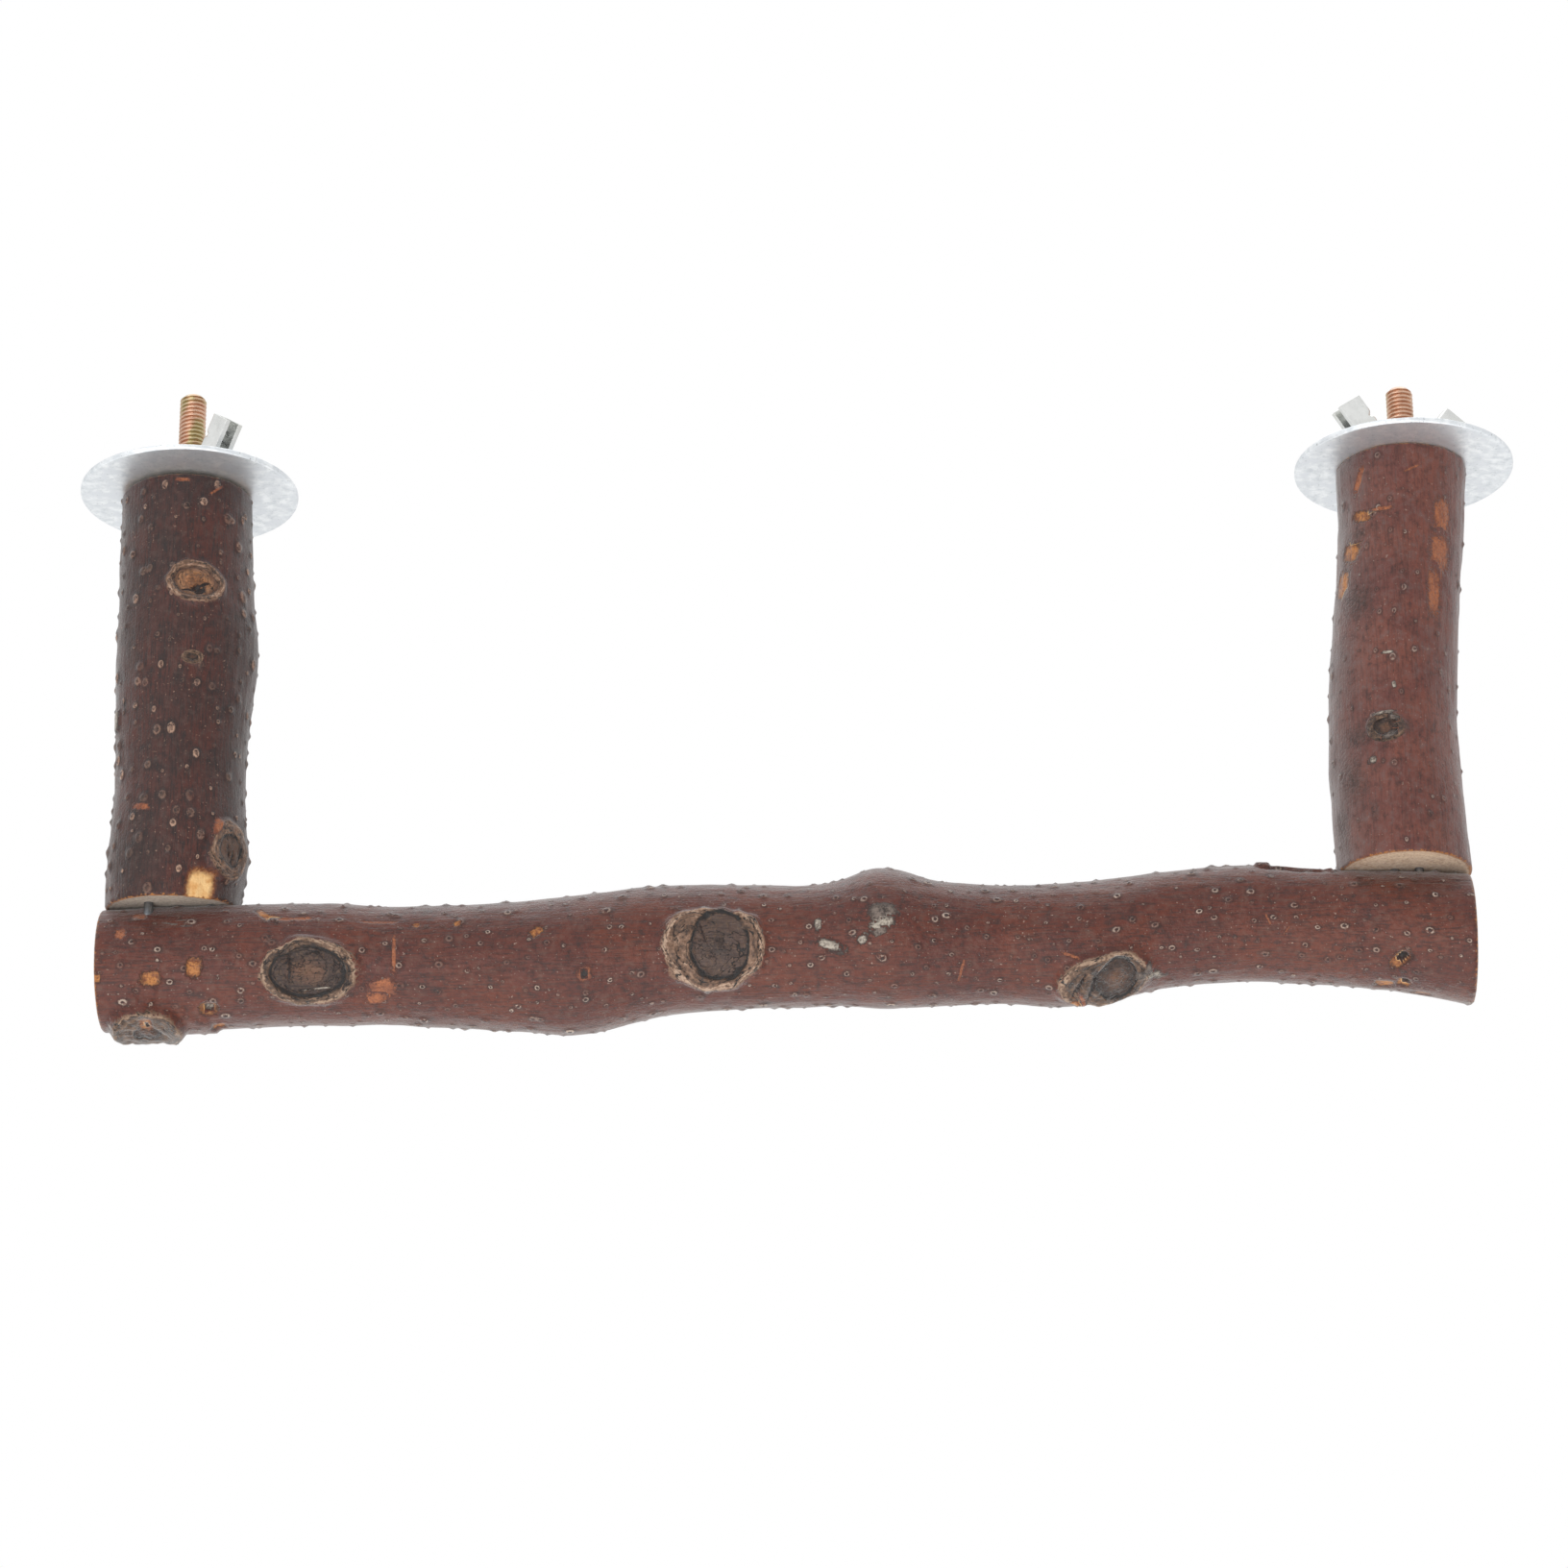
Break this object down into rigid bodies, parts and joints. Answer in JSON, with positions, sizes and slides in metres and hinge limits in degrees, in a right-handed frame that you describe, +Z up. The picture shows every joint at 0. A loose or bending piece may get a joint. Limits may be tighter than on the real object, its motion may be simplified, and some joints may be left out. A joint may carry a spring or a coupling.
{
  "type": "bird perch",
  "caption": "U-shaped cage perch of bark-covered branch wood: a long bar nailed under two short posts, hung by threaded studs with large washers and wing nuts.",
  "frame": {"origin": "midway between the two studs, on the plane of the posts' upper ends that clamps against the cage", "axes": "+X along the bar to the right as seen from the front, +Y to the back, +Z up the studs"},
  "size_m": [0.323, 0.049, 0.155],
  "materials": {
    "bar_bark": "natural bark, reddish brown, with sawn knots",
    "left_post_bark": "natural bark, purple brown",
    "right_post_bark": "natural bark, red brown with bare patches",
    "yellow_zinc": "yellow chromate on zinc-plated steel",
    "washer_zinc": "zinc plated sheet, satin",
    "nut_zinc": "bright zinc plated, stamped",
    "nail_steel": "plain drawn wire"
  },
  "bodies": {
    "perch_frame": {"perch_bar": "bar_bark", "left_post": "left_post_bark", "right_post": "right_post_bark", "left_hanger_bolt": "yellow_zinc", "right_hanger_bolt": "yellow_zinc", "left_outer_nail": "nail_steel", "left_inner_nail": "nail_steel", "right_inner_nail": "nail_steel", "right_outer_nail": "nail_steel"},
    "left_washer": {"left_washer": "washer_zinc"},
    "left_wing_nut": {"left_wing_nut": "nut_zinc"},
    "right_washer": {"right_washer": "washer_zinc"},
    "right_wing_nut": {"right_wing_nut": "nut_zinc"}
  },
  "joints": [
    {"name": "left_washer_lift", "type": "slide", "parent": "perch_frame", "child": "left_washer", "axis": [0, 0, 1], "range_m": [0, 0.01]},
    {"name": "left_nut_turn", "type": "hinge", "parent": "left_washer", "child": "left_wing_nut", "pos_m": [-0.137, 0, 0.0012], "axis": [0, 0, 1], "range_deg": [0, 3610]},
    {"name": "right_washer_lift", "type": "slide", "parent": "perch_frame", "child": "right_washer", "axis": [0, 0, 1], "range_m": [0, 0.01]},
    {"name": "right_nut_turn", "type": "hinge", "parent": "right_washer", "child": "right_wing_nut", "pos_m": [0.137, 0, 0.0012], "axis": [0, 0, 1], "range_deg": [0, 3610]}
  ],
  "couplings": [
    {"joint": "left_nut_turn", "follows": "left_washer_lift", "rad_per_m": 6283.2},
    {"joint": "right_nut_turn", "follows": "right_washer_lift", "rad_per_m": 6283.2}
  ]
}
